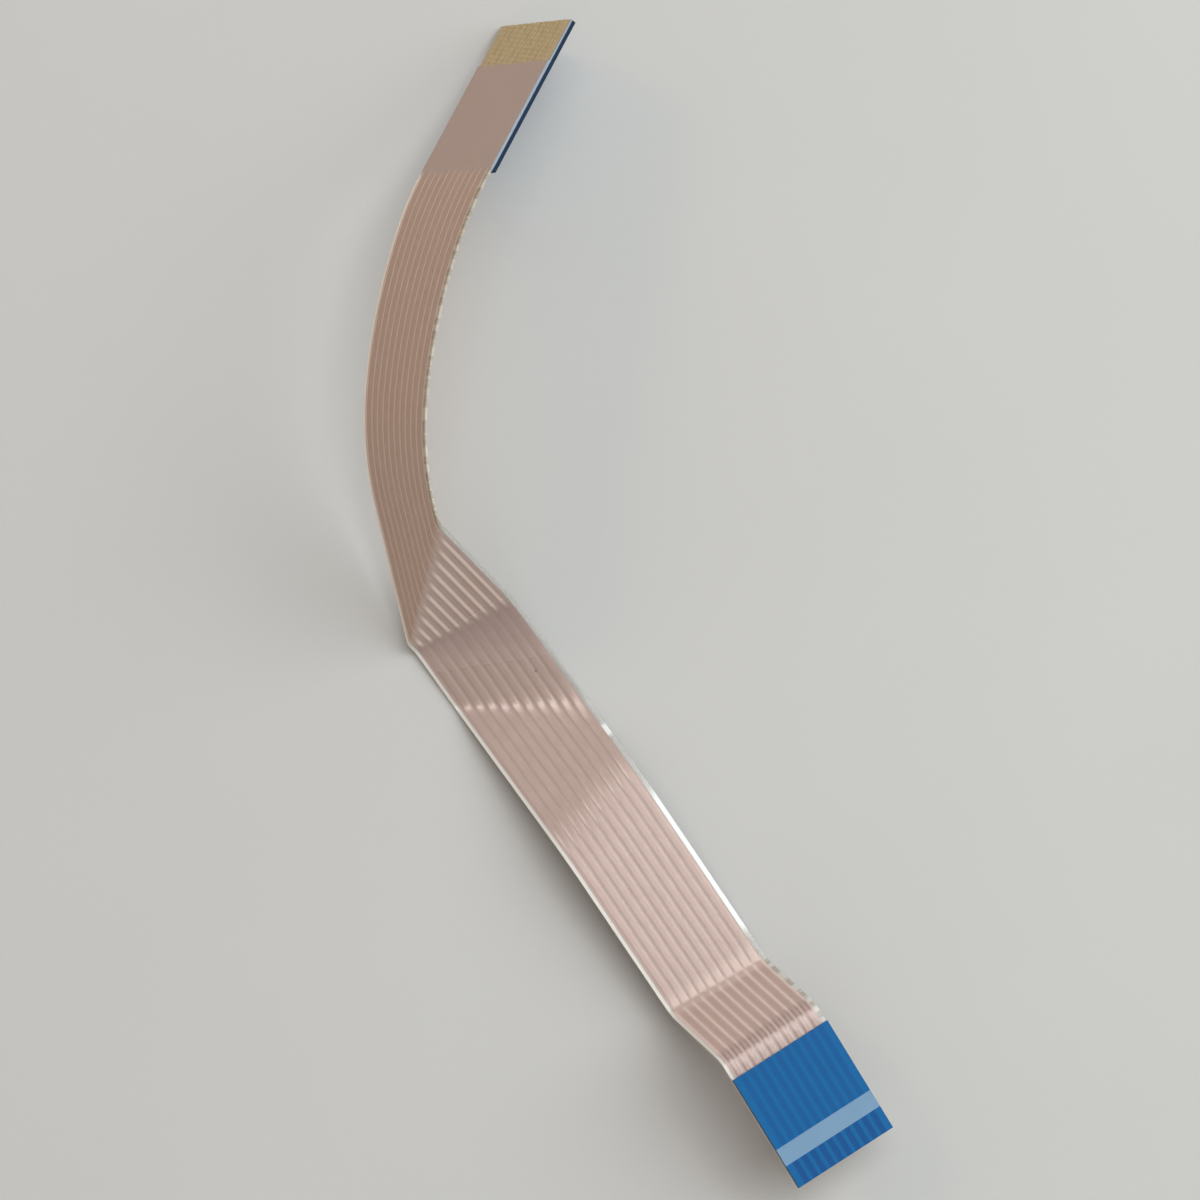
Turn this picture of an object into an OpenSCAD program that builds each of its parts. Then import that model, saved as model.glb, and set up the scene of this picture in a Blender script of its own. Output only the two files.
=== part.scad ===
// Flat flex cable, ten ways at half-millimetre pitch, creased and set by handling.
// Two clear films are laminated over flat copper conductors. A blue stiffener backs each end,
// one above the cable and one beneath it, so the bare contacts face opposite ways.
// The whole cable is worked out flat and then folded along straight rulings, as a thin
// laminate folds: nothing in it is stretched, and its two edges keep their length.
// Flat coordinates: s runs along the cable from the marked end, t across it (left positive),
// n out of its upper face, with n = 0 where the two films meet.

/* [Conductors] */
// Number of conductors
ways = 10; // [4:1:16]
// Distance between the centres of neighbouring conductors
pitch = 0.5; // [0.4:0.05:0.6]
// Width of one flat conductor
conductor_width = 0.34; // [0.2:0.01:0.36]
// Thickness of one flat conductor
conductor_thickness = 0.05; // [0.03:0.005:0.1]
// Film beyond the centre of the outermost conductor on each side
edge_margin = 0.5; // [0.35:0.05:1]

/* [Films] */
// Thickness of one film with its adhesive
film_thickness = 0.06; // [0.04:0.005:0.1]
// How far each side of a rib leans as the film drapes over a conductor
rib_flank = 0.03; // [0.01:0.005:0.03]
// Length of the cable, measured flat from tip to tip
cable_length = 67; // [60:0.5:80]

/* [Ends] */
// Length of the stiffener on the upper face at the marked end
marked_stiffener_length = 6; // [4:0.1:8]
// Length of the stiffener on the lower face at the plain end
plain_stiffener_length = 9; // [6:0.1:12]
// Thickness of a stiffener
stiffener_thickness = 0.22; // [0.15:0.01:0.3]
// Length of the bare contacts at the marked end, which face down
marked_contact_length = 2.5; // [1.5:0.1:3.5]
// Length of the bare contacts at the plain end, which face up
plain_contact_length = 2.5; // [1.5:0.1:4]
// Distance of the insertion line from the marked tip
line_from_tip = 1.2; // [0.5:0.1:2]
// Width of the insertion line, measured along the cable
line_width = 0.9; // [0.3:0.1:1.5]
// Depth of the ink of the insertion line
line_depth = 0.02; // [0.01:0.005:0.04]

/* [Creases] */
// Flat length between the marked stiffener and the first crease
neck_start = 0.5; // [0.1:0.1:2]
// Length of cable taken up by each of the two neck creases
neck_crease = 1; // [0.4:0.1:2]
// Flat length between the two neck creases, on the left and right edge
neck_flat = [3.6, 3.2]; // [2:0.1:5]
// Flat length from the neck to the soft bend, on the left and right edge
near_flat = [7, 9]; // [5:0.1:10]
// Length of cable taken up by the soft bend
soft_run = 3.2; // [1:0.1:5]
// Flat length from the soft bend to the fan, on the left and right edge
far_flat = [7.4, 1.4]; // [1:0.1:8]
// Length of the fan's gentle start, on the left and right edge
fan_start = [0.8, 2.4]; // [0.4:0.1:3]
// Flat length inside the fan, on the left and right edge
fan_flat = [2.8, 3]; // [1:0.1:4]
// Length of the fan's steep end, on the left and right edge
fan_end = [0.4, 2.8]; // [0.4:0.1:3]
// Flat triangle between the fan and the diagonal crease, on the left and right edge
triangle = [0.1, 6.2]; // [0.1:0.1:7]
// Length of cable taken up by the diagonal crease, on the left and right edge
diagonal_run = [0.4, 0.8]; // [0.2:0.1:2]
// Angle by which the first neck crease turns the cable down
neck_down_angle = 51; // [5:1:70]
// Angle by which the second neck crease turns it back up
neck_up_angle = 46; // [5:1:70]
// Angle of the soft bend in the long flat
soft_bend_angle = 14; // [0:1:40]
// Angle by which the fan's gentle start lifts the cable
fan_lift_angle = 14; // [2:1:30]
// Angle by which the fan's steep end lifts it further
fan_up_angle = 54; // [5:1:70]
// Angle of the sharp diagonal crease that lays it on its edge
diagonal_angle = 72; // [5:1:85]
// Angle turned by the long arc between the diagonal crease and the plain end
arc_angle = 49; // [5:1:90]

/* [Hidden] */
width = (ways - 1) * pitch + 2 * edge_margin;
half = width / 2;
rib = conductor_thickness / 2;                    // a conductor lies half in each film
film_outer = film_thickness;                      // outer face of a film between conductors
rib_outer = film_thickness + rib;                 // and over a conductor
plain_start = cable_length - plain_stiffener_length;
tiny = 0.001;

function conductor_name(i) = str("conductor_", i < 10 ? "0" : "", i);

// ---- The bends, from the marked end to the plain one ----
// Each one is the stretch of cable between two straight rulings. A place along the cable is a
// pair, [left edge, right edge], because a ruling need not cross it squarely. A row gives the
// flat cable before a bend, the bend's own length, its angle (a positive one turns the cable
// away from its upper face) and its steps.
SHARP_STEPS = 3;
SOFT_STEPS = 2;
CREASES = [
    [[neck_start, neck_start], [neck_crease, neck_crease], neck_down_angle, SHARP_STEPS],
    [neck_flat, [neck_crease, neck_crease], -neck_up_angle, SHARP_STEPS],
    [near_flat, [soft_run, soft_run], soft_bend_angle, SOFT_STEPS],
    [far_flat, fan_start, -fan_lift_angle, SOFT_STEPS],
    [fan_flat, fan_end, -fan_up_angle, SOFT_STEPS],
    [triangle, diagonal_run, diagonal_angle, SHARP_STEPS]];
// The arc takes up what is left: the shares of its left and right edge at which each of its
// stretches starts, and the share of its turn that lies in each.
ARC_START_SHARE = [[0.29, 0.01], [0.54, 0.32], [0.88, 0.76], [1, 1]];
ARC_SHARE = [0.45, 0.33, 0.22];
ARC_STEPS = 3;

// Where crease i begins and ends
function crease_start(i) = (i == 0 ? [marked_stiffener_length, marked_stiffener_length]
    : crease_end(i - 1)) + CREASES[i][0];
function crease_end(i) = crease_start(i) + CREASES[i][1];
ARC_START = crease_end(len(CREASES) - 1);
function arc_place(i) = let (rest = [plain_start, plain_start] - ARC_START)
    [for (edge = [0, 1]) ARC_START[edge] + ARC_START_SHARE[i][edge] * rest[edge]];

// Every stretch as [start, end, angle, steps]
STRETCHES = concat(
    [for (i = [0:len(CREASES) - 1]) [crease_start(i), crease_end(i), CREASES[i][2], CREASES[i][3]]],
    [for (i = [0:len(ARC_SHARE) - 1])
        [arc_place(i), arc_place(i + 1), ARC_SHARE[i] * arc_angle, ARC_STEPS]]);

// Every ruling as [s on the left edge, s on the right edge, angle]: its share of a stretch
RULINGS = [for (b = STRETCHES) for (j = [0:b[3] - 1])
    let (place = b[0] + (j + 0.5) / b[3] * (b[1] - b[0])) [place[0], place[1], b[2] / b[3]]];

// ---- Folding ----
function unit(v) = v / norm(v);
function shift(v) = [[1, 0, 0, v[0]], [0, 1, 0, v[1]], [0, 0, 1, v[2]], [0, 0, 0, 1]];
function turn(axis, a) =
    let (u = unit(axis), c = cos(a), d = 1 - cos(a), e = sin(a))
    [[c + u[0] * u[0] * d, u[0] * u[1] * d - u[2] * e, u[0] * u[2] * d + u[1] * e, 0],
        [u[1] * u[0] * d + u[2] * e, c + u[1] * u[1] * d, u[1] * u[2] * d - u[0] * e, 0],
        [u[2] * u[0] * d - u[1] * e, u[2] * u[1] * d + u[0] * e, c + u[2] * u[2] * d, 0],
        [0, 0, 0, 1]];
function point(m, v) = let (p = m * [v[0], v[1], v[2], 1]) [p[0], p[1], p[2]];
function arrow(m, v) = let (p = m * [v[0], v[1], v[2], 0]) [p[0], p[1], p[2]];

// A ruling's middle and its direction for each unit of t, both in flat coordinates
function middle(r) = [(r[0] + r[1]) / 2, 0, 0];
function lean(r) = [(r[0] - r[1]) / width, 1, 0];
function folded(m, r, a) = m * shift(middle(r)) * turn(lean(r), a) * shift(-middle(r));
// The placing of the flat panel that follows each ruling, starting with the marked end's
function panels(i = 0, m = shift([0, 0, 0])) =
    i == len(RULINGS) ? [m] : concat([m], panels(i + 1, folded(m, RULINGS[i], RULINGS[i][2])));
PANELS = panels();

// A frame is [origin, vector for each unit of t, vector for each unit of n]. At a ruling the
// n vector halves the fold, so that both neighbouring panels keep their thickness.
function frame_at(m, s) = [point(m, [s, 0, 0]), arrow(m, [0, 1, 0]), arrow(m, [0, 0, 1])];
function frame_on(i) =
    let (r = RULINGS[i], bisector = folded(PANELS[i], r, r[2] / 2))
    [point(PANELS[i], middle(r)), arrow(PANELS[i], lean(r)),
        arrow(bisector, [0, 0, 1 / cos(r[2] / 2)])];
function frames(from, to) = concat([frame_at(PANELS[0], from)],
    [for (i = [0:len(RULINGS) - 1]) frame_on(i)], [frame_at(PANELS[len(RULINGS)], to)]);
function on_frame(f, t, n) = f[0] + t * f[1] + n * f[2];
function along(profile, run) = [for (f = run) for (p = profile) on_frame(f, p[0], p[1])];
function moved(m, f) = [point(m, f[0]), arrow(m, f[1]), arrow(m, f[2])];

// ---- The cross-section, as points [t, n] that run anticlockwise ----
function way_t(i) = (i - (ways + 1) / 2) * pitch;
// One rib of the outline at height n0, raised by up, from low t to high t
function rib_points(i, n0, up) =
    let (c = way_t(i), w = conductor_width / 2)
    [[c - w - rib_flank, n0], [c - w, n0 + up], [c + w, n0 + up], [c + w + rib_flank, n0]];
function groove_points(i, up) =
    let (c = way_t(i), w = conductor_width / 2) [[c - w, 0], [c - w, up], [c + w, up], [c + w, 0]];
function reversed(v) = [for (i = [len(v) - 1:-1:0]) v[i]];
UPPER_SECTION = concat(
    [[-half, 0]], [for (i = [1:ways]) each groove_points(i, rib)], [[half, 0]],
    reversed(concat([[-half, film_outer]],
        [for (i = [1:ways]) each rib_points(i, film_outer, rib)], [[half, film_outer]])));
LOWER_SECTION = reversed([for (p = UPPER_SECTION) [p[0], -p[1]]]);
function conductor_section(i) =
    let (c = way_t(i), w = conductor_width / 2)
    [[c - w, -rib], [c + w, -rib], [c + w, 0], [c + w, rib], [c - w, rib], [c - w, 0]];

// ---- Where the cable lies ----
// It rests on the plain tip's left corner and on the two outer ribs where they cross the fan.
// Those three points set its lowest plane, and the line from the left rib to the plain tip
// sets its heading.
HEADING = 81;
FAN_RULING = CREASES[0][3] + CREASES[1][3] + CREASES[2][3] + 1;
rest_tip = point(PANELS[len(RULINGS)], [cable_length, half, -rib_outer - stiffener_thickness]);
outer_rib = way_t(ways) + conductor_width / 2;
rest_left = on_frame(frame_on(FAN_RULING), outer_rib, -rib_outer);
rest_right = on_frame(frame_on(FAN_RULING), -outer_rib, -rib_outer);
rest_line = unit(rest_tip - rest_left);
rest_up = unit(cross(rest_line, rest_left - rest_right));
rest_side = cross(rest_up, rest_line);
LEVEL = turn([0, 0, 1], HEADING) * [concat(rest_line, 0), concat(rest_side, 0), concat(rest_up, 0),
    [0, 0, 0, 1]];
FILM_POINTS = [for (p = along(concat(UPPER_SECTION, LOWER_SECTION), frames(0, cable_length)))
    point(LEVEL, p)];
STIFFENER_CORNERS = concat(
    [for (s = [0, marked_stiffener_length]) for (t = [-half, half])
        point(LEVEL * PANELS[0], [s, t, rib_outer + stiffener_thickness])],
    [for (s = [plain_start, cable_length]) for (t = [-half, half])
        point(LEVEL * PANELS[len(RULINGS)], [s, t, -rib_outer - stiffener_thickness])]);
REACH = concat(FILM_POINTS, STIFFENER_CORNERS);
function lowest(i) = min([for (p = REACH) p[i]]);
function highest(i) = max([for (p = REACH) p[i]]);
PLACE = shift([-(lowest(0) + highest(0)) / 2, -(lowest(1) + highest(1)) / 2, -lowest(2)]) * LEVEL;

// ---- Solids ----
// A section swept through the folds, from station s = from to s = to. Each four-sided facet is
// split from the point that comes first in t and n, whichever way its section runs, so that
// two pieces that meet have the same facets on the face they share.
module ribbon(section, from, to) {
    run = [for (f = frames(from, to)) moved(PLACE, f)];
    n = len(section);
    last = len(run) - 1;
    faces = concat([[for (j = [0:n - 1]) j]], [[for (j = [n - 1:-1:0]) last * n + j]],
        [for (k = [0:last - 1]) for (j = [0:n - 1])
            let (a = k * n + j, b = k * n + (j + 1) % n, p = section[j], q = section[(j + 1) % n])
            each p[0] + p[1] < q[0] + q[1] ? [[a, a + n, b + n], [a, b + n, b]]
                : [[a, a + n, b], [b, a + n, b + n]]]);
    polyhedron(along(section, run), faces, convexity = 8);
}

// A flat plate on one of the end panels, given by its corner and its size in s, t and n
module plate(panel, corner, size) {
    multmatrix(PLACE * panel) translate(corner) cube(size);
}

module film_upper() {
    color([0.93, 0.88, 0.84, 0.5]) ribbon(UPPER_SECTION, 0, cable_length - plain_contact_length);
}

module film_lower() {
    color([0.93, 0.88, 0.84, 0.5]) ribbon(LOWER_SECTION, marked_contact_length, cable_length);
}

module conductor(i) {
    color([0.78, 0.58, 0.46]) ribbon(conductor_section(i), 0, cable_length);
}

module stiffener_marked_end() {
    color([0.07, 0.36, 0.6]) difference() {
        plate(PANELS[0], [0, -half, rib_outer], [marked_stiffener_length, width, stiffener_thickness]);
        plate(PANELS[0], [line_from_tip, -half - tiny, rib_outer + stiffener_thickness - line_depth],
            [line_width, width + 2 * tiny, line_depth + tiny]);
    }
}

module insertion_line() {
    color([0.48, 0.62, 0.74])
        plate(PANELS[0], [line_from_tip, -half, rib_outer + stiffener_thickness - line_depth],
            [line_width, width, line_depth]);
}

module stiffener_plain_end() {
    color([0.07, 0.36, 0.6])
        plate(PANELS[len(RULINGS)], [plain_start, -half, -rib_outer - stiffener_thickness],
            [plain_stiffener_length, width, stiffener_thickness]);
}

film_upper();
film_lower();
stiffener_marked_end();
stiffener_plain_end();
insertion_line();
for (i = [1:ways])
    conductor(i);
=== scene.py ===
# %% [markdown]
# A flat flex cable is a laminate: two clear polyester films with flat copper conductors between
# them, and a blue polyester stiffener behind the bare contacts at each end. It is thin and can't
# stretch, so it bends only about straight lines. This lesson rebuilds the cable from its list of
# bends, gives each layer its own finish, and lights it as it lies on a pale table.

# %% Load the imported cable
import math
from types import SimpleNamespace

import bpy
import numpy as np
from mathutils import Matrix, Vector


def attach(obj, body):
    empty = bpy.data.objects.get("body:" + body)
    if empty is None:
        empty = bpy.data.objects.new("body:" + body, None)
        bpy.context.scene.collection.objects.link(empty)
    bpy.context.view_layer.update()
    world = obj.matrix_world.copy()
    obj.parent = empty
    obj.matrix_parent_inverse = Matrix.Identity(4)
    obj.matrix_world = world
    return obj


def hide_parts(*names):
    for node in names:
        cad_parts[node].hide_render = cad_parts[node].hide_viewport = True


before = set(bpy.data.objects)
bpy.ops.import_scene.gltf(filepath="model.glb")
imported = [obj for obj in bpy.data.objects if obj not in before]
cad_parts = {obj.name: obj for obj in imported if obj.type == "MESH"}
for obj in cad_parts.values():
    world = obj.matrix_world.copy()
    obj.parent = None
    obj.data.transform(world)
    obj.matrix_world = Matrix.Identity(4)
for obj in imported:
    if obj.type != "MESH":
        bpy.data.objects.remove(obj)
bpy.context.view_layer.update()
MM = 0.001

# %% [markdown]
# The camera looks almost straight down on the cable from about a third of a metre, turned a
# little about its own axis. A long lens at that distance keeps the near and the far end at
# nearly the same scale. It is placed by angles about a target on the table, which are easier to
# read and to change than a matrix.

# %% Camera
TARGET = Vector((-0.53, 0.31, 0)) * MM
DISTANCE = 322.3 * MM
AZIMUTH, ELEVATION, ROLL = 14.78, 81.59, -20.42
LENS, SENSOR = 198.4, 36


def towards(azimuth, elevation):
    """Unit vector from the target: azimuth in degrees from -Y towards +X, elevation upwards."""
    a, e = math.radians(azimuth), math.radians(elevation)
    return Vector((math.sin(a) * math.cos(e), -math.cos(a) * math.cos(e), math.sin(e)))


camera = bpy.data.objects.new("camera", bpy.data.cameras.new("camera"))
bpy.context.scene.collection.objects.link(camera)
look = towards(AZIMUTH, ELEVATION).to_track_quat("Z", "Y")
camera.rotation_mode = "QUATERNION"
camera.rotation_quaternion = look @ Matrix.Rotation(math.radians(ROLL), 3, "Z").to_quaternion()
camera.location = TARGET + DISTANCE * towards(AZIMUTH, ELEVATION)
camera.data.lens, camera.data.sensor_width = LENS, SENSOR
bpy.context.scene.camera = camera
print("camera at, mm:", [round(x / MM, 1) for x in camera.location])

# %% [markdown]
# The cable's sizes and its bends, in millimetres, are those of the solid model. Along the cable
# the coordinate is s, from the marked tip; across it t, left positive; and n rises out of the
# upper face. A bend is the stretch between two straight rulings: the flat cable before it on the
# left and right edge, its own length on each edge, its angle and its steps. A positive angle
# turns the cable away from its upper face. The last two numbers say how far the rounding reaches
# into the flats before and after, because a crease made by hand fades out gently.

# %% Sizes and bends
WAYS, PITCH, CONDUCTOR, COPPER = 10, 0.5, 0.34, 0.05
MARGIN, FILM = 0.5, 0.06
LENGTH, MARKED, PLAIN, STIFF, CONTACT = 67, 6, 9, 0.22, 2.5
LINE_START = 1.2    # where the printed line begins
WIDTH = (WAYS - 1) * PITCH + 2 * MARGIN
HALF, RIB = WIDTH / 2, COPPER / 2
BENDS = [
    (0.5, 0.5, 1, 1, 51, 3, 0.4, 0.3),
    (3.6, 3.2, 1, 1, -46, 3, 0.5, 1.8),
    (7.0, 9.0, 3.2, 3.2, 14, 2, 0, 0),
    (7.4, 1.4, 0.8, 2.4, -14, 2, 0.9, 0.2),
    (2.8, 3.0, 0.4, 2.8, -54, 2, 0.4, 0),
    (0.1, 6.2, 0.4, 0.8, 72, 3, 0, 0)]
ARC_TURN, ARC_STEPS = 49, 3
ARC_LEFT, ARC_RIGHT = [0.29, 0.54, 0.88, 1], [0.01, 0.32, 0.76, 1]
ARC_SHARE = [0.45, 0.33, 0.22]


def all_bends():
    """Every bend as (left start, right start, left end, right end, angle, steps, reach, reach)."""
    rows, left, right = [], MARKED, MARKED
    for before_left, before_right, run_left, run_right, *rest in BENDS:
        left, right = left + before_left, right + before_right
        rows.append((left, right, left + run_left, right + run_right, *rest))
        left, right = left + run_left, right + run_right
    arc_left, arc_right = LENGTH - PLAIN - left, LENGTH - PLAIN - right
    for i, share in enumerate(ARC_SHARE):
        rows.append((left + ARC_LEFT[i] * arc_left, right + ARC_RIGHT[i] * arc_right,
                     left + ARC_LEFT[i + 1] * arc_left, right + ARC_RIGHT[i + 1] * arc_right,
                     share * ARC_TURN, ARC_STEPS, 0, 0))
    return rows


print("bends:", len(all_bends()), "turning", sum(abs(b[4]) for b in all_bends()), "degrees in all")

# %% [markdown]
# Folding is a chain of turns. Each ruling turns everything after it about its own line, so the
# matrix of a flat panel is the product of all the turns before it. To round a fold off, the
# straight steps on both sides of a ruling become a small curve that starts and ends on the two
# panels, so the panels themselves stay exactly where the solid model has them.

# %% Fold the flat strip
def shift(v):
    m = np.eye(4)
    m[:3, 3] = v
    return m


def turn(axis, degrees):
    m = np.eye(4)
    m[:3, :3] = np.array(Matrix.Rotation(math.radians(degrees), 3, Vector(axis)))
    return m


def folded(m, left, right, degrees):
    middle = np.array(((left + right) / 2, 0, 0))
    return m @ shift(middle) @ turn(((left - right) / WIDTH, 1, 0), degrees) @ shift(-middle)


def point(m, v):
    return m[:3, :3] @ np.array(v, float) + m[:3, 3]


def rulings_of(bend):
    """Its rulings as (left, right, angle, line where its curve begins, line where it ends)."""
    left, right, left_end, right_end, angle, steps, before, after = bend

    def line(u, more=0.0):
        return left + u * (left_end - left) + more, right + u * (right_end - right) + more

    rows = []
    for j in range(steps):
        begins = line(j / steps, -before if j == 0 else 0)
        ends = line((j + 1) / steps, after if j == steps - 1 else 0)
        rows.append((*line((j + 0.5) / steps), angle / steps, begins, ends))
    return rows


rulings = [row for bend in all_bends() for row in rulings_of(bend)]
panels = [np.eye(4)]
for left, right, angle, *_ in rulings:
    panels.append(folded(panels[-1], left, right, angle))
print("rulings:", len(rulings))

# %% [markdown]
# So far the marked end lies flat and the rest follows it. On the table the cable rests on three
# points: the plain tip's left corner, and the two outer ribs where they cross the fan. They level
# it, and the line from the left rib to the plain tip gives its heading. Last, it is moved to where
# the solid model's plain stiffener is.

# %% Lay it on the table
HEADING = 81        # of that line, in degrees from +X towards +Y
FAN_RULING = 9      # the ruling of the fan that touches the table


def on_ruling(i, t, n):
    """A point of ruling i, with the thickness mitred between its two panels."""
    left, right, angle, *_ = rulings[i]
    bisector = folded(panels[i], left, right, angle / 2)
    middle = point(panels[i], ((left + right) / 2, 0, 0))
    lean = panels[i][:3, :3] @ np.array(((left - right) / WIDTH, 1, 0))
    return middle + t * lean + bisector[:3, 2] * n / math.cos(math.radians(angle / 2))


def unit(v):
    return v / np.linalg.norm(v)


rest_tip = point(panels[-1], (LENGTH, HALF, -FILM - RIB - STIFF))
outer_rib = ((WAYS - 1) * PITCH + CONDUCTOR) / 2
rest_left, rest_right = (on_ruling(FAN_RULING, t, -FILM - RIB) for t in (outer_rib, -outer_rib))
rest_line = unit(rest_tip - rest_left)
rest_up = unit(np.cross(rest_line, rest_left - rest_right))
level = np.eye(4)
level[:3, :3] = (rest_line, np.cross(rest_up, rest_line), rest_up)
level = turn((0, 0, 1), HEADING) @ level
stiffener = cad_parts["stiffener_plain_end"]
cad_centre = np.mean([v.co for v in stiffener.data.vertices], axis=0) / MM
my_centre = point(level @ panels[-1], (LENGTH - PLAIN / 2, 0, -FILM - RIB - STIFF / 2))
place = shift(cad_centre - my_centre) @ level
panels = [place @ m for m in panels]
print("marked tip at, mm:", point(panels[0], (0, 0, 0)).round(2))

# %% [markdown]
# A station is a straight line across the cable. It holds s on the left and on the right edge,
# where its middle is, which way it runs for each unit of t, and the surface's normal. On a flat
# the normal is the panel's own; on a curve it comes from the curve's direction.

# %% Stations along the cable
FLAT_STEP, CURVE_STEPS = 0.4, 5
TOUCHING = 1e-6     # lines no farther apart than this leave no flat between them


def on_panel(i, left, right):
    lean = np.array(((left - right) / WIDTH, 1, 0))
    return (left, right, point(panels[i], ((left + right) / 2, 0, 0)),
            panels[i][:3, :3] @ lean, panels[i][:3, 2])


def flat_stations(i, start, end):
    """Stations on panel i between two lines, without the last one."""
    longest = max(end[0] - start[0], end[1] - start[1])
    count = max(1, math.ceil(longest / FLAT_STEP))
    return [on_panel(i, *(np.array(start) + (np.array(end) - start) * k / count)) for k in range(count)]


def curve_stations(i):
    """Stations on the rounded fold between panels i and i + 1, without the last one."""
    left, right, angle, start, end = rulings[i]
    a, b, c = on_panel(i, *start), on_panel(i, left, right), on_panel(i + 1, *end)
    rows = []
    for k in range(CURVE_STEPS):
        u = k / CURVE_STEPS
        w = ((1 - u) ** 2, 2 * u * (1 - u), u * u)
        middle = w[0] * a[2] + w[1] * b[2] + w[2] * c[2]
        lean = w[0] * a[3] + w[1] * b[3] + w[2] * c[3]
        ahead = (1 - u) * (b[2] - a[2]) + u * (c[2] - b[2])
        normal = unit(np.cross(ahead, lean))
        rows.append((w[0] * a[0] + w[1] * b[0] + w[2] * c[0], w[0] * a[1] + w[1] * b[1] + w[2] * c[1],
                     middle, lean, normal))
    return rows


def stations(start, end):
    rows, line = [], (start, start)
    for i, ruling in enumerate(rulings):
        if max(ruling[3][0] - line[0], ruling[3][1] - line[1]) > TOUCHING:
            rows += flat_stations(i, line, ruling[3])
        rows += curve_stations(i)
        line = ruling[4]
    return rows + flat_stations(len(rulings), line, (end, end)) + [on_panel(len(rulings), end, end)]


print("stations:", len(stations(0, LENGTH)))

# %% [markdown]
# Every layer of the cable is a strip swept through the stations. The film drapes over the
# conductors, so its outer face rises in ten soft ribs, and its inner face is flat. Each point
# remembers how far along and across the cable it is, because the finishes are drawn in those
# coordinates and not in space.

# %% Sweep a section into a mesh
FLANK = 0.075       # half the width of a rib's slope
PRESSED = 0.6       # how far the ribs take to fade where the laminate was pressed on a stiffener
DRAPE = 0.36        # how much of a conductor's height is left in the rib over it
SHARP = 40          # degrees between faces from which an edge is drawn sharp


def smooth(x):
    x = np.clip(x, 0, 1)
    return x * x * (3 - 2 * x)


def way_t(i):
    """t of the centre of conductor i, counted from 1."""
    return (i - (WAYS + 1) / 2) * PITCH


def rib_height(t, s, side):
    """How far a film stands up at t and s: in ribs, full beneath its stiffener, flat opposite one."""
    nearest = np.abs((t / PITCH + WAYS / 2) % 1 - 0.5) * PITCH
    ribs = smooth((CONDUCTOR / 2 + FLANK - nearest) / (2 * FLANK))
    ribs = np.where(np.abs(t) > WAYS * PITCH / 2, 0, ribs)
    on_marked = 1 - smooth((s - MARKED + PRESSED) / PRESSED)
    on_plain = smooth((s - LENGTH + PLAIN + PRESSED / 2) / PRESSED)
    filled, pressed = (on_marked, on_plain) if side > 0 else (on_plain, on_marked)
    return RIB * (DRAPE * ribs * (1 - filled) * (1 - pressed) + filled)


def sweep(name, outline, start, end):
    """A closed strip. outline(s) gives the section's points (t, n) at s; it must keep its count."""
    rows = stations(start, end)
    points, along, across = [], [], []
    for left, right, middle, lean, normal in rows:
        section = outline((left + right) / 2)
        for t, n in section:
            points.append((middle + t * lean + n * normal) * MM)
            along.append((left + right) / 2 + t * (left - right) / WIDTH)
            across.append(t)
    count, last = len(section), len(rows) - 1
    faces = [tuple(range(count - 1, -1, -1)), tuple(last * count + j for j in range(count))]
    for k in range(last):
        for j in range(count):
            a, b = k * count + j, k * count + (j + 1) % count
            faces.append((a, b, b + count, a + count))
    mesh = bpy.data.meshes.new(name)
    mesh.from_pydata([tuple(p) for p in points], [], faces)
    for key, values in (("along", along), ("across", across)):
        mesh.attributes.new(key, "FLOAT", "POINT").data.foreach_set("value", np.array(values, np.float32))
    mesh.validate()
    piece = bpy.data.objects.new(name, mesh)
    bpy.context.scene.collection.objects.link(piece)
    mesh.shade_smooth()
    mesh.set_sharp_from_angle(angle=math.radians(SHARP))
    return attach(piece, "root")


# %% [markdown]
# The films were pressed together around the conductors with heat, so each has a flat inner face
# and a ribbed outer one. The points of the section are close together across the ribs, where the
# surface curves, and only three fill each margin. The upper film stops short of the plain end's
# contacts, and the lower one short of the marked end's.

# %% The two films
PER_PITCH = 12      # points across each way
MARGIN_POINTS = 3
BOND = 0.002        # half the glue line that keeps the films' inner faces apart


def film_columns():
    ribbed = np.linspace(-WAYS * PITCH / 2, WAYS * PITCH / 2, WAYS * PER_PITCH + 1)
    edge = np.linspace(WAYS * PITCH / 2, HALF, MARGIN_POINTS + 1)[1:]
    return np.concatenate((-edge[::-1], ribbed, edge))


COLUMNS = film_columns()


def upper_outline(s):
    top = FILM + rib_height(COLUMNS, s, 1)
    return [(-HALF, BOND), (HALF, BOND)] + list(zip(COLUMNS[::-1], top[::-1]))


def lower_outline(s):
    bottom = -FILM - rib_height(COLUMNS, s, -1)
    return [(HALF, -BOND), (-HALF, -BOND)] + list(zip(COLUMNS, bottom))


upper = sweep("upper_film", upper_outline, 0, LENGTH - CONTACT)
lower = sweep("lower_film", lower_outline, CONTACT, LENGTH)
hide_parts("film_upper")
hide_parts("film_lower")
print("film points:", len(upper.data.vertices))

# %% [markdown]
# The conductors are rolled flat, so a plain rectangle is their whole section. They run the full
# length of the cable, and each replaces its own solid.

# %% The conductors
def conductor_outline(i):
    c, w = way_t(i), CONDUCTOR / 2
    return lambda s: [(c - w, -RIB), (c + w, -RIB), (c + w, RIB), (c - w, RIB)]


conductors = []
for i in range(1, WAYS + 1):
    strip = sweep(f"copper_{i:02d}", conductor_outline(i), 0, LENGTH)
    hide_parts(f"conductor_{i:02d}")
    conductors.append(strip)
print("conductors:", len(conductors))

# %% [markdown]
# The finishes are written as sums on sockets. A wire is one output of one node, and adding or
# multiplying wires adds the Math node that does it.

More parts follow.
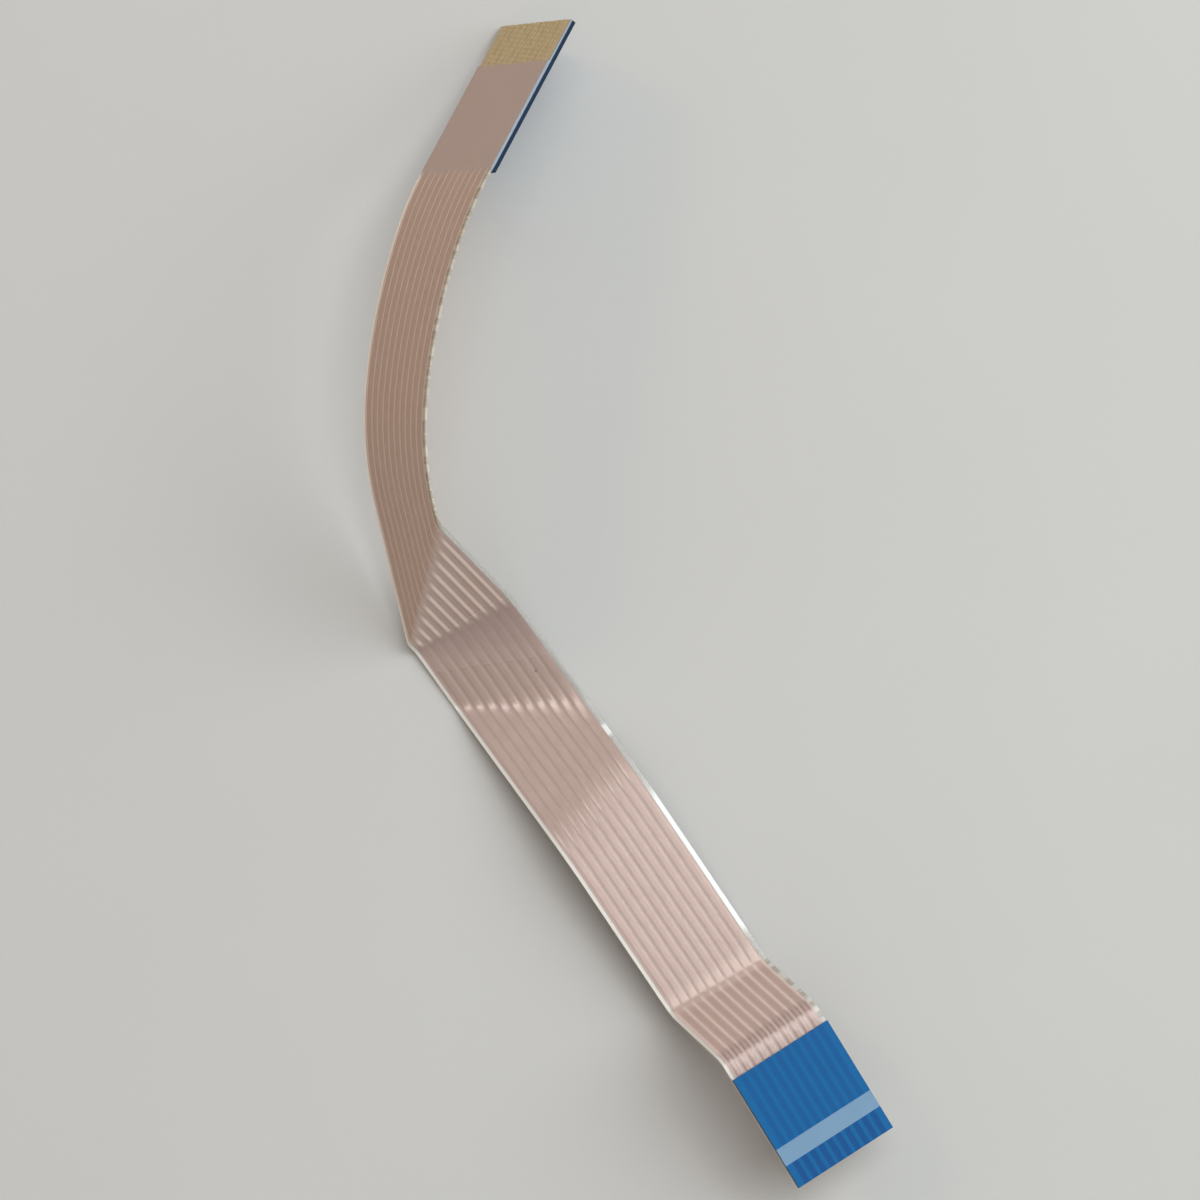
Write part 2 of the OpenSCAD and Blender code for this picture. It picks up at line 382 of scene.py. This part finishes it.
# %% Shader maths
class Wire:
    """One output socket. Python's operators on it add Math nodes."""

    def __init__(self, shader, socket):
        self.shader, self.socket = shader, socket

    def math(self, operation, *others):
        values = dict(enumerate((self, *others)))
        return self.shader.add("ShaderNodeMath", {"operation": operation}, values)

    def __add__(self, other):
        return self.math("ADD", other)

    def __sub__(self, other):
        return self.math("SUBTRACT", other)

    def __mul__(self, other):
        return self.math("MULTIPLY", other)

    def __truediv__(self, other):
        return self.math("DIVIDE", other)

    def __rsub__(self, other):
        return self.shader.add("ShaderNodeMath", {"operation": "SUBTRACT"}, {0: other, 1: self})

    __radd__, __rmul__ = __add__, __mul__


RELIEF = 0.02 * MM      # how deep a bump of full strength is


class Shader:
    """A material being written. add() makes any node; paint() ends it in a Principled shader."""

    def __init__(self, name, tree=None):
        if tree is None:
            self.material = bpy.data.materials.new(name)
            self.material.use_nodes = True
        self.tree = tree or self.material.node_tree
        self.tree.nodes.clear()

    def add(self, kind, settings=None, inputs=None, out=0):
        node = self.tree.nodes.new(kind)
        for key, value in (settings or {}).items():
            setattr(node, key, value)
        for key, value in (inputs or {}).items():
            if isinstance(value, Wire):
                self.tree.links.new(value.socket, node.inputs[key])
            else:
                node.inputs[key].default_value = value
        return Wire(self, node.outputs[out]) if node.outputs else None

    def attribute(self, name):
        return self.add("ShaderNodeAttribute", {"attribute_name": name}, out="Fac")

    def step(self, value, low, high, out_low=0.0, out_high=1.0):
        """A smooth step: out_low below low, out_high above high."""
        return self.add("ShaderNodeMapRange", {"interpolation_type": "SMOOTHSTEP"},
                        {"Value": value, "From Min": low, "From Max": high,
                         "To Min": out_low, "To Max": out_high})

    def before(self, value, fade):
        """1 before a fade, which is a pair of places, and 0 after it."""
        return self.step(value, *fade, 1.0, 0.0)

    def between(self, value, fade_in, fade_out):
        """0, then 1 between the two fades, then 0 again."""
        return self.step(value, *fade_in) * self.before(value, fade_out)

    def mix(self, factor, a, b):
        """A colour between a and b; 6 and 7 are the colour sockets of a Mix node."""
        return self.add("ShaderNodeMix", {"data_type": "RGBA", "clamp_factor": True},
                        {0: factor, 6: a, 7: b}, out=2)

    def noise(self, where, scale, detail):
        return self.add("ShaderNodeTexNoise", {}, {"Vector": where, "Scale": scale, "Detail": detail})

    def paint(self, bump=None, strength=1.0, **inputs):
        """The Principled shader. Underscores stand for spaces in its sockets' names."""
        inputs = {key.replace("_", " "): value for key, value in inputs.items()}
        if bump is not None:
            inputs["Normal"] = self.add("ShaderNodeBump", {}, {"Height": bump, "Strength": strength,
                                                               "Distance": RELIEF})
        surface = self.add("ShaderNodeBsdfPrincipled", {}, inputs)
        self.add("ShaderNodeOutputMaterial", {}, {"Surface": surface})
        return self.material


def rgb(r, g, b):
    """A colour given as it looks on screen, 0 to 255, for the sockets, which are linear."""
    to_linear = lambda c: c / 12.92 if c <= 0.04045 else ((c + 0.055) / 1.055) ** 2.4
    return tuple(to_linear(c / 255) for c in (r, g, b)) + (1.0,)


print("shader maths ready, bumps", RELIEF / MM, "mm deep")

# %% [markdown]
# The film is clear polyester over a milky glue. Over a conductor the glue is thin and the copper
# shows; in the gaps it is thick and looks dull. Along the arc the pale lines in the gaps are partly
# that glue and partly a painted highlight. The finish changes from zone to zone, partly with the
# folds and partly as painted light and shade, so it is drawn in the cable's own coordinates. A
# zone is written as two fades, in millimetres: where it comes in and where it goes out. A crease
# that crosses the cable at a slant is followed by s plus a share of t, its slope. Fades across a
# rib are measured from the middle of its conductor.

# %% Zones of the film
STIFFENED, BARE = LENGTH - PLAIN, LENGTH - CONTACT      # where the plain end's two parts begin
DIAGONAL_SLOPE, FOOT_SLOPE = 1.07, -0.15                # of the diagonal and the triangle's foot
FAN_SLOPES = -0.5, -0.04                                # of the fan's first and last ruling
BESIDE_STIFFENER = 7.2, 7.7                             # where the painted shade beside the stiffener ends
NECK_IN, NECK_OUT = (6.4, 7.6), (11.2, 11.8)            # the twice creased neck
RISING_FLAT = (11.9, 12.6), (21.0, 23.5)                      # the long rising flat
RISING_FLAT_SHADE_MOST = 11.8, 15.0                                 # where that flat's painted shade is darkest, and eases
LOWER_FLAT = (21.5, 23.5), (28.5, 30.5)                 # the flat after the soft bend
APPROACH_SHADE_ZONE = (26.5, 31.5), (33.0, 33.6)                       # painted shade up to the triangle, at the foot's slope
TRIANGLE_FOOT, TRIANGLE_TOP = (33.0, 33.6), (36.2, 37.0)        # each at its own slope
FAN = (30.4, 32.2), (33.3, 33.7)                        # the rough crease at the triangle's foot, darkened with painted shade
PAST_DIAGONAL = 36.4, 37.4                              # where all that lies beyond begins
GAP_EDGE = CONDUCTOR / 2, 0.22                          # across a rib, from here on
# across a rib: the painted shade line along its middle, and the triangle's painted highlight on its top
SHADE_MIDDLE_LINE, RIB_TOP = (0.02, 0.07), (0.03, 0.13)
# across a rib: the neck's painted highlight lines, and the arc's glue lines with their painted highlight
NECK_HIGHLIGHT_LINE, GLUE_AND_HIGHLIGHT_LINE = (0.07, 0.22), (0.18, 0.25)
FLANK_LINE = 0.04, 0.08                                 # the painted flank shade: from halfway out to the gap's middle
print("folded zones from", NECK_IN[0], "to", PAST_DIAGONAL[1], "mm along the cable")

# %% Colours of the film
OVER_COPPER, IN_GAPS, CLOUDED = rgb(186, 163, 151), rgb(166, 143, 133), rgb(160, 134, 120)
# painted shade on the long rising flat
RISING_FLAT_SHADE = rgb(156, 132, 122)
# the arc's pale lines are the glue's colour and a painted highlight together
ARC_COPPER, ARC_GLUE_AND_HIGHLIGHT = rgb(188, 158, 139), rgb(203, 176, 157)
# a painted highlight on the triangle's ribs, and painted shade in the fan's crease
TRIANGLE_HIGHLIGHT, FAN_SHADE = rgb(234, 214, 200), rgb(146, 122, 112)
# painted highlight in the neck: lighter copper, and pale lines between the ribs
NECK_LIT_COPPER, NECK_HIGHLIGHT = rgb(198, 168, 158), rgb(226, 204, 194)
# painted shade beside the marked stiffener: darkest along each flank
FLANK_SHADE, RIB_SHADE_BESIDE_STIFFENER = rgb(143, 121, 112), rgb(174, 150, 140)
# painted shade: on the flats up to the triangle, and in the gaps of the lower flat
APPROACH_SHADE, LOWER_GAP_SHADE = rgb(148, 124, 114), rgb(134, 110, 101)
PRESSED_SMOOTH, OVER_GOLD, DIRT = rgb(175, 150, 137), rgb(176, 158, 124), rgb(70, 50, 44)
MILKY, MILKY_ARC = rgb(210, 204, 194), rgb(240, 228, 212)
CLEAR, CLEAR_ARC, CLEAR_END = rgb(204, 200, 192), rgb(192, 180, 160), rgb(148, 156, 166)
# a painted white highlight on the right margin, and the colour of its nicks
MARGIN_HIGHLIGHT, NICK = rgb(232, 234, 230), rgb(178, 166, 148)
print("film over copper, linear:", [round(c, 3) for c in OVER_COPPER[:3]])

# %% [markdown]
# First come the numbers that the rest is drawn with: how far a point is from the middle of its
# conductor, whether it lies in a gap, over the plain end, past the diagonal crease or in the fan,
# and a soft cloud of noise. On the long rising flat the gap lines are fainter, a painted shade
# darkens the flat, and a fine painted shade line runs along the middle of each rib.

# %% Film over the conductors
def from_middle(t):
    """Distance across the cable from the middle of the nearest conductor."""
    return ((t / PITCH + WAYS / 2).math("FRACT") - 0.5).math("ABSOLUTE") * PITCH


def film_places(shader):
    s, t = shader.attribute("along"), shader.attribute("across")
    from_way = from_middle(t)
    over_end = shader.step(s, STIFFENED - 0.3, STIFFENED + 0.3)
    gap = shader.step(from_way, *GAP_EDGE) * (1 - over_end)
    stretched = shader.add("ShaderNodeCombineXYZ", {}, {"X": s, "Y": t * 2.0})
    cloud = shader.noise(stretched, scale=1.1, detail=3.0)
    past_diagonal = shader.step(s + t * DIAGONAL_SLOPE, *PAST_DIAGONAL) * (1 - over_end)
    fan = (shader.step(s + t * FAN_SLOPES[0], *FAN[0])
           * shader.before(s + t * FAN_SLOPES[1], FAN[1]))
    return SimpleNamespace(s=s, t=t, from_way=from_way, over_end=over_end, gap=gap, cloud=cloud,
                           past_diagonal=past_diagonal, fan=fan,
                           bare=shader.step(s, BARE - 0.05, BARE + 0.05))


def ribbed_colour(shader, at):
    rising_flat = shader.between(at.s, *RISING_FLAT)
    # painted shade: a fine darker line along the middle of each rib on the rising flat
    shaded_middle_line = shader.step(at.from_way, *SHADE_MIDDLE_LINE, 0.45, 0.0)
    lines = at.gap * (1 - rising_flat * 0.5) + rising_flat * shaded_middle_line
    colour = shader.mix(lines, OVER_COPPER, IN_GAPS)
    # painted shade that darkens the rising flat
    colour = shader.mix(shader.step(at.s, *RISING_FLAT_SHADE_MOST, 0.65, 0.55) * rising_flat, colour, RISING_FLAT_SHADE)
    return shader.mix(shader.step(at.cloud, 0.35, 0.7) * 0.25, colour, CLOUDED)


print("conductor middles at, mm:", [way_t(i) for i in range(1, WAYS + 1)])

# %% [markdown]
# Then come the marks of folding, and painted light. Past the diagonal crease fine pale lines run
# between the conductors, partly the glue and partly a painted highlight. In the folded triangle
# before it a painted highlight runs along the middle of each rib, and in the neck a painted
# highlight lightens the film and the lines between the ribs. The flats that lead to the triangle
# are darkened with painted shade, and so are the gaps of the flat after the soft bend; the fan at
# the triangle's foot is rough and darkened with painted shade. Beside the marked stiffener a
# painted shade darkens the ribs, most in a line along each flank. Over the plain end the laminate
# was pressed smooth.

# %% Marks of folding, painted highlights and painted shade
def folds_and_painted_light(shader, at, colour):
    # pale lines past the diagonal: partly the glue's own colour, partly a painted highlight
    glue_and_highlight_line = shader.step(at.from_way, *GLUE_AND_HIGHLIGHT_LINE) * (0.4 + at.cloud)
    colour = shader.mix(at.past_diagonal, colour, shader.mix(glue_and_highlight_line, ARC_COPPER, ARC_GLUE_AND_HIGHLIGHT))
    foot = at.s + at.t * FOOT_SLOPE
    triangle = (shader.step(foot, *TRIANGLE_FOOT)
                * shader.before(at.s + at.t * DIAGONAL_SLOPE, TRIANGLE_TOP))
    # painted highlight along the middle of each rib in the folded triangle
    colour = shader.mix(triangle * shader.before(at.from_way, RIB_TOP), colour, TRIANGLE_HIGHLIGHT)
    # painted highlight that lightens the neck
    neck = shader.step(at.s, *NECK_OUT, 0.55, 0.0) * shader.step(at.s, *NECK_IN, 0.5, 1.0)
    neck_highlight_line = shader.step(at.from_way, *NECK_HIGHLIGHT_LINE)
    colour = shader.mix(neck, colour, shader.mix(neck_highlight_line, NECK_LIT_COPPER, NECK_HIGHLIGHT))
    # painted shade on the ribs beside the marked stiffener, darkest along each flank
    from_flank = (at.from_way - PITCH / 4).math("ABSOLUTE")
    shaded_ribs = shader.mix(shader.step(from_flank, *FLANK_LINE), FLANK_SHADE, RIB_SHADE_BESIDE_STIFFENER)
    colour = shader.mix(shader.before(at.s, BESIDE_STIFFENER) * 0.8, colour, shaded_ribs)
    # painted shade on the flats that lead to the triangle
    colour = shader.mix(shader.between(foot, *APPROACH_SHADE_ZONE) * 0.45, colour, APPROACH_SHADE)
    # painted shade in the gaps of the flat after the soft bend
    colour = shader.mix(shader.between(at.s, *LOWER_FLAT) * at.gap * 0.35, colour, LOWER_GAP_SHADE)
    # painted shade in the fan's crease
    return shader.mix(at.fan * 0.3, colour, FAN_SHADE)


SPECK = 29.3, -1.5      # a speck of dirt: how far along and across


def end_colour(shader, at, colour):
    colour = shader.mix(at.over_end, colour, PRESSED_SMOOTH)
    colour = shader.mix(at.bare, colour, OVER_GOLD)
    from_speck = (at.s - SPECK[0]).math("ABSOLUTE") + (at.t - SPECK[1]).math("ABSOLUTE")
    return shader.mix(shader.step(from_speck, 0.05, 0.11, 0.7, 0.0), colour, DIRT)


print("plain end pressed smooth from", STIFFENED, "mm and bare from", BARE, "mm")

# %% [markdown]
# Last come the two margins: a milky one on the left, and a clear one on the right that carries a
# painted white highlight in two places, and is nicked along the arc and at the neck. The nicks are
# beads of noise along the edge, in its colour and in its transparency.

# %% Margins
# where the right margin carries a painted highlight
MARGIN_HIGHLIGHT_ZONES = ((12.4, 13.4), (20.5, 22.0)), ((24.4, 24.7), (25.1, 25.4))
ARC_NICKS, NECK_NICKS = (39.0, 42.0), (11.0, 11.6)      # where those begin, and where these end
LEFT_EDGE, RIGHT_EDGE, RIGHT_EDGE_END = (2.56, 2.62), (-2.56, -2.48), (-2.72, -2.68)


def margins(shader, at):
    """Where each margin is, where the right one carries its painted highlight or is nicked, and its
    beads.
    """
    inside = 1 - at.over_end
    first, second = (shader.between(at.s, *zone) for zone in MARGIN_HIGHLIGHT_ZONES)
    beads = shader.add("ShaderNodeTexNoise", {"noise_dimensions": "1D"},
                       {"W": at.s, "Scale": 1.6, "Detail": 2.0})
    return SimpleNamespace(
        left=shader.step(at.t, *LEFT_EDGE) * inside,
        right=(shader.before(at.t, RIGHT_EDGE) * inside
               + shader.before(at.t, RIGHT_EDGE_END) * at.over_end),
        nicked=shader.step(at.s, *ARC_NICKS) * inside + shader.before(at.s, NECK_NICKS),
        white=first + second, beads=beads)


def margin_colour(shader, at, edge, colour):
    colour = shader.mix(edge.left, colour, shader.mix(at.past_diagonal, MILKY, MILKY_ARC))
    clear = shader.mix(at.past_diagonal, CLEAR, CLEAR_ARC)
    clear = shader.mix(at.over_end, clear, CLEAR_END)
    # the right margin, with its painted white highlight
    colour = shader.mix(edge.right, colour, shader.mix(edge.white, clear, MARGIN_HIGHLIGHT))
    return shader.mix(edge.right * edge.nicked * shader.step(edge.beads, 0.55, 0.4) * 0.7, colour, NICK)


def film_alpha(shader, at, edge):
    """Densest over the plain end, then in the gaps, then over copper. The right margin is clearer."""
    clear = (shader.step(edge.beads, 0.42, 0.58) * 0.3 + 0.3) * edge.nicked + 0.2
    clear = clear + (edge.white + at.over_end).math("MINIMUM", 1.0) * (0.9 - clear)
    alpha = 0.82 + at.gap * 0.12 + at.over_end * 0.14
    return alpha + edge.right * (clear - alpha)


print("the right margin is white in", len(MARGIN_HIGHLIGHT_ZONES), "places")

# %% [markdown]
# The film is glossy, which makes the ribs catch the light: a little less so in the clouds and in
# the gaps, and hardly at all in the fan, where a rough crease spreads the highlight out. A trace
# of metal tints the highlights over the copper.

# %% Film finish
def film_finish():
    shader = Shader("clear_film")
    at = film_places(shader)
    edge = margins(shader, at)
    colour = end_colour(shader, at, folds_and_painted_light(shader, at, ribbed_colour(shader, at)))
    copper = (1 - edge.left) * (1 - edge.right) * (1 - at.bare) * (1 - at.gap) * 0.15
    return shader.paint(Base_Color=margin_colour(shader, at, edge, colour),
                        Alpha=film_alpha(shader, at, edge), Metallic=copper,
                        Roughness=0.17 + at.cloud * 0.08 + at.gap * 0.2 + at.fan * 0.4,
                        IOR=1.65, bump=at.cloud, strength=0.3)


film_material = film_finish()
for film in (upper, lower):
    film.data.materials.append(film_material)
print("film nodes:", len(film_material.node_tree.nodes))

# %% [markdown]
# The conductors are rolled copper, with a grain drawn out along them. Their bare ends are plated
# with gold, which stops them from tarnishing in the connector. Fine crossed scratches, two waves
# multiplied, break up the gold.

# %% Copper and gold
COPPER_PALE, COPPER_DARK = rgb(196, 142, 120), rgb(176, 124, 104)
GOLD_PALE, GOLD_DARK = rgb(206, 184, 140), rgb(184, 162, 120)


def conductor_finish():
    shader = Shader("copper_and_gold")
    s, t = shader.attribute("along"), shader.attribute("across")
    plated = shader.step(s, BARE - 0.05, BARE) + shader.before(s, (CONTACT, CONTACT + 0.05))
    drawn_out = shader.add("ShaderNodeCombineXYZ", {}, {"X": s * 4.0, "Y": t * 20.0})
    grain = shader.noise(drawn_out, scale=1.0, detail=3.0)
    copper = shader.mix(grain, COPPER_PALE, COPPER_DARK)
    hatch = 0.5 + (s * 14.0 + t * 8.0).math("SINE") * (s * 9.0 - t * 12.0).math("SINE") * 0.5
    gold = shader.mix(hatch, GOLD_PALE, GOLD_DARK)
    return shader.paint(Base_Color=shader.mix(plated, copper, gold), Metallic=0.75,
                        Roughness=0.38 + grain * 0.15, bump=grain, strength=0.2)


conductor_material = conductor_finish()
for strip in conductors:
    strip.data.materials.append(conductor_material)
print("conductor nodes:", len(conductor_material.node_tree.nodes))

# %% [markdown]
# The stiffeners keep the solid model's shape. They are translucent blue, so the conductors show
# through as darker stripes, and a cut edge looks nearly black-blue because the light has to
# travel along the sheet to get out of it. The place on a stiffener is found from space, with a
# dot product against the direction that runs along or across it.

# %% Stiffeners and the insertion line
BLUE, BLUE_BRIGHT, BLUE_STRIPE = rgb(0, 86, 136), rgb(0, 91, 150), rgb(0, 68, 126)
CUT_EDGE = rgb(16, 40, 62)
LINE_BLUE, LINE_PALE = rgb(91, 128, 156), rgb(102, 137, 166)


def on_plate(shader, panel):
    """Millimetres along and across the cable on a flat end, worked out from the place in space."""
    where = shader.add("ShaderNodeTexCoord", {}, out="Object")
    results = []
    for column in (0, 1):
        axis = panel[:3, column]
        dot = shader.add("ShaderNodeVectorMath", {"operation": "DOT_PRODUCT"},
                         {0: where, 1: tuple(axis / MM)}, out="Value")
        results.append(dot - float(axis @ panel[:3, 3]))
    return results


def stiffener_finish(name, panel):
    shader = Shader(name)
    s, t = on_plate(shader, panel)
    beyond_ways = WAYS * PITCH / 2, WAYS * PITCH / 2 + 0.05
    stripe = shader.before(from_middle(t), (0.1, 0.2)) * shader.before(t.math("ABSOLUTE"), beyond_ways)
    where = shader.add("ShaderNodeCombineXYZ", {}, {"X": s, "Y": t})
    cloud = shader.noise(where, scale=0.8, detail=2.0)
    colour = shader.mix(cloud, BLUE, BLUE_BRIGHT)
    near_tip = shader.step(s, LINE_START - 0.1, LINE_START + 0.1, 0.9, 0.5)
    colour = shader.mix(stripe * near_tip, colour, BLUE_STRIPE)
    normal = shader.add("ShaderNodeNewGeometry", {}, out="Normal")
    facing = shader.add("ShaderNodeVectorMath", {"operation": "DOT_PRODUCT"},
                        {0: normal, 1: tuple(panel[:3, 2])}, out="Value")
    colour = shader.mix(shader.before(facing.math("ABSOLUTE"), (0.5, 0.8)), colour, CUT_EDGE)
    return shader.paint(Base_Color=colour, Roughness=0.34 + cloud * 0.1, Specular_IOR_Level=0.12,
                        bump=cloud, strength=0.2)


def line_finish():
    shader = Shader("printed_line")
    where = shader.add("ShaderNodeTexCoord", {}, out="Object")
    cloud = shader.noise(where, scale=900.0, detail=2.0)
    colour = shader.mix(cloud, LINE_BLUE, LINE_PALE)
    return shader.paint(Base_Color=colour, Roughness=0.45 + cloud * 0.1)


def dress(node, material):
    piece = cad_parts[node]
    piece.data.materials.clear()
    piece.data.materials.append(material)


dress("stiffener_marked_end", stiffener_finish("blue_marked", panels[0]))
dress("stiffener_plain_end", stiffener_finish("blue_plain", panels[-1]))
dress("insertion_line", line_finish())
print("dressed: two stiffeners and the line, which begins at", LINE_START, "mm")

# %% [markdown]
# A path along the middle of the cable, up to the plain end's contacts, is taken from every fourth
# station, and the marked tip's place is worked out.

path = [tuple(row[2] * MM) for row in stations(0, LENGTH - CONTACT)[::4]]
tuple(point(panels[0], (0, 0, 0)) * MM)
print("path points:", len(path))

# %% [markdown]
# The table is plain and pale, with a trace of cloud.

# %% Table
FLOOR_SIZE = 1.2        # metres
TABLE_DULL, TABLE_PALE = rgb(188, 187, 183), rgb(192, 191, 187)


def floor_finish():
    shader = Shader("pale_table")
    where = shader.add("ShaderNodeTexCoord", {}, out="Object")
    cloud = shader.noise(where, scale=60.0, detail=2.0)
    colour = shader.mix(cloud, TABLE_DULL, TABLE_PALE)
    return shader.paint(Base_Color=colour, Roughness=0.7)


bpy.ops.mesh.primitive_plane_add(size=FLOOR_SIZE, location=(0, 0, 0))
floor = bpy.context.object
floor.name = "table"
floor.data.materials.append(floor_finish())
print("table:", FLOOR_SIZE, "m square")

# %% [markdown]
# The cable stands up to 8 mm off the table, so its shadows tell which way the light comes. Most
# of it is cool and comes from the right, and a small warm lamp stands low on the left; where one
# is hidden, the shadow takes the other's colour. A small hard lamp draws the glints on the ribs,
# and the rest are broad and fill in. Each lamp is a disc given by where it stands, how large it
# looks, and its share: how bright it alone would make a white table. With the power worked out
# from that, a lamp can be moved without making the whole brighter or darker.

# %% Lamps
def lamp(name, direction, share, colour, angle, distance):
    """A disc lamp. share is how bright it alone makes a white table. A lamp of power P straight
    above, at distance d, makes it P / (pi d)^2. A slanting one gives that times direction.z."""
    light = bpy.data.lights.new(name, "AREA")
    light.shape = "DISK"
    light.size = 2 * distance * math.tan(math.radians(angle / 2))
    light.energy = share * math.pi ** 2 * distance ** 2 / direction.z
    light.color = colour
    holder = bpy.data.objects.new(name, light)
    bpy.context.scene.collection.objects.link(holder)
    holder.location = direction * distance
    holder.rotation_mode = "QUATERNION"
    holder.rotation_quaternion = direction.to_track_quat("Z", "Y")


def from_north(azimuth, elevation):
    """Unit vector towards a lamp: azimuth in degrees from +Y towards +X, elevation upwards."""
    return -towards(-azimuth, -elevation)


# name, azimuth, elevation, share, colour, angle that it fills, distance in metres
LAMPS = [
    ("ceiling", 100, 70, 0.12, (1.0, 1.0, 0.99), 50, 1.0),
    ("window", 2, 42, 0.05, (0.98, 0.99, 1.0), 36, 1.0),
    ("side_window", 50, 61, 0.21, (0.97, 0.98, 1.0), 32, 1.0),
    ("glint_lamp", -7, 71, 0.056, (1.0, 1.0, 1.0), 11, 1.0),
    ("warm_lamp", -50.5, 32.5, 0.06, (1.0, 0.55, 0.25), 16, 1.0),
    ("cool_lamp", 76, 36, 0.42, (0.88, 0.96, 1.0), 44, 0.4),
    ("south_lamp", 190, 38, 0.06, (1.0, 0.98, 0.95), 40, 1.0)]
for name, azimuth, elevation, share, colour, angle, distance in LAMPS:
    lamp(name, from_north(azimuth, elevation), share, colour, angle, distance)
print("lamps:", len(LAMPS), "with shares of", round(sum(row[3] for row in LAMPS), 3), "in all")

# %% [markdown]
# The glossy ribs also mirror the room. It is a gradient by height: bright walls near the horizon,
# a darker upper part, and a ceiling a little lighter than that straight above.

# %% Room
WALLS, HIGH, ZENITH = (0.85, 0.86, 0.88, 1), (0.16, 0.16, 0.165, 1), (0.24, 0.24, 0.24, 1)
WALLS_TO_HIGH, HIGH_TO_ZENITH = (0.2, 0.6), (0.85, 0.98)    # sines of the elevation


def room():
    world = bpy.data.worlds.new("room")
    bpy.context.scene.world = world
    world.use_nodes = True
    shader = Shader("room", world.node_tree)
    direction = shader.add("ShaderNodeTexCoord", {}, out="Generated")
    up = shader.add("ShaderNodeSeparateXYZ", {}, {0: direction}, out="Z")
    colour = shader.mix(shader.step(up, *WALLS_TO_HIGH), WALLS, HIGH)
    colour = shader.mix(shader.step(up, *HIGH_TO_ZENITH), colour, ZENITH)
    light = shader.add("ShaderNodeBackground", {}, {"Color": colour})
    shader.add("ShaderNodeOutputWorld", {}, {"Surface": light})


room()
bpy.context.scene.view_settings.view_transform = "Standard"
print("room nodes:", len(bpy.context.scene.world.node_tree.nodes))
